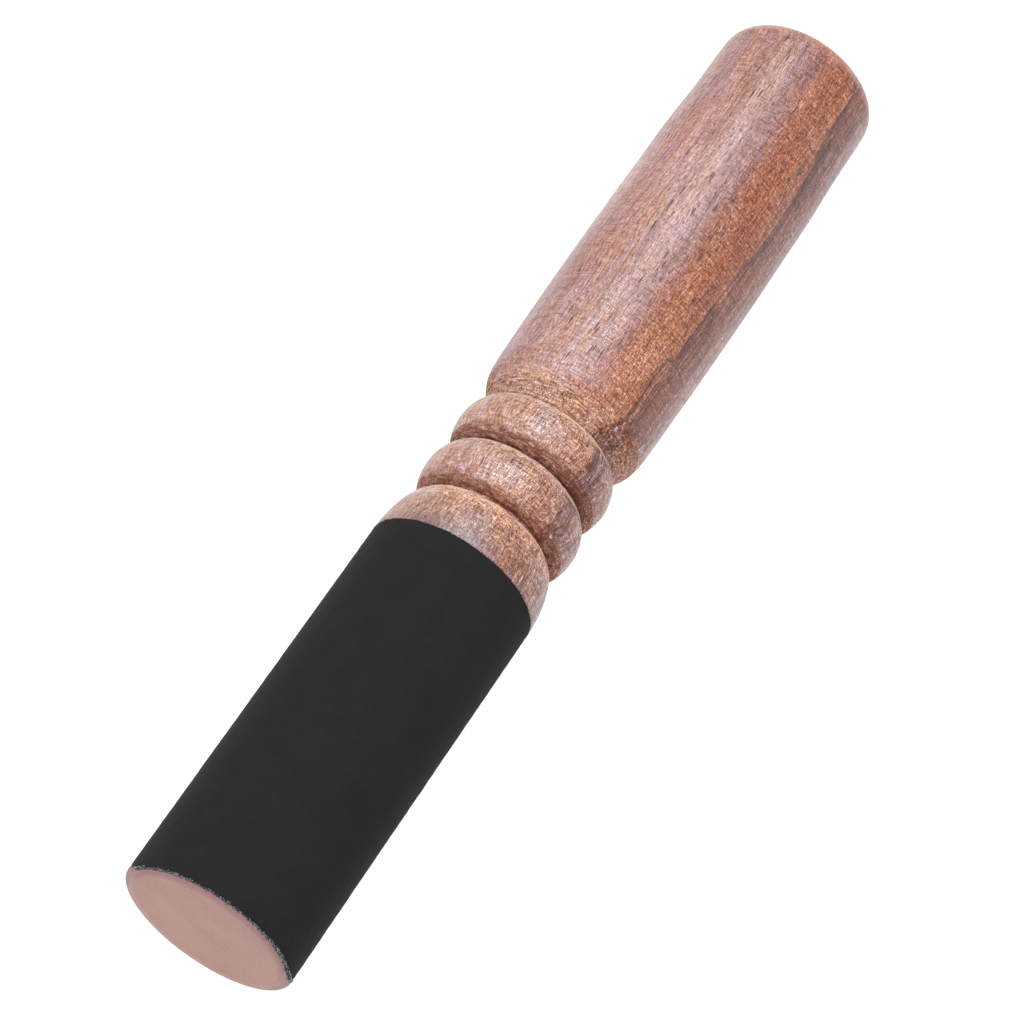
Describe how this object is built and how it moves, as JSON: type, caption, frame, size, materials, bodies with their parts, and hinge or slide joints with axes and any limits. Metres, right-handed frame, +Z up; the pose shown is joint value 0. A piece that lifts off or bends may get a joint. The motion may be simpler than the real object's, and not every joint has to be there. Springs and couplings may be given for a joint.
{
  "type": "suede-wrapped wooden mallet",
  "caption": "Hand mallet turned from one stick of hardwood: black suede glued round its cylindrical head, a rounded shoulder, ring beads with narrow grooves, and a barrel-shaped grip.",
  "frame": {"origin": "on the surface the mallet lies on, under the middle of its length and its turning axis", "axes": "+X along the turning axis from the head end to the handle end, +Z up; the mallet lies on the belly of its grip, with its turning axis level"},
  "size_m": [0.192, 0.0304, 0.0303],
  "materials": {
    "turned_hardwood": "fine-sanded and lightly oiled, satin, fine dark pores and purple-brown streaks along the grain",
    "dried_adhesive": "thin amber film of dried contact cement",
    "black_suede": "matte brushed nap with a raw grey cut edge"
  },
  "bodies": {
    "root": {"turned_body": "turned_hardwood", "adhesive_film": "dried_adhesive", "suede_sleeve": "black_suede"}
  },
  "joints": []
}
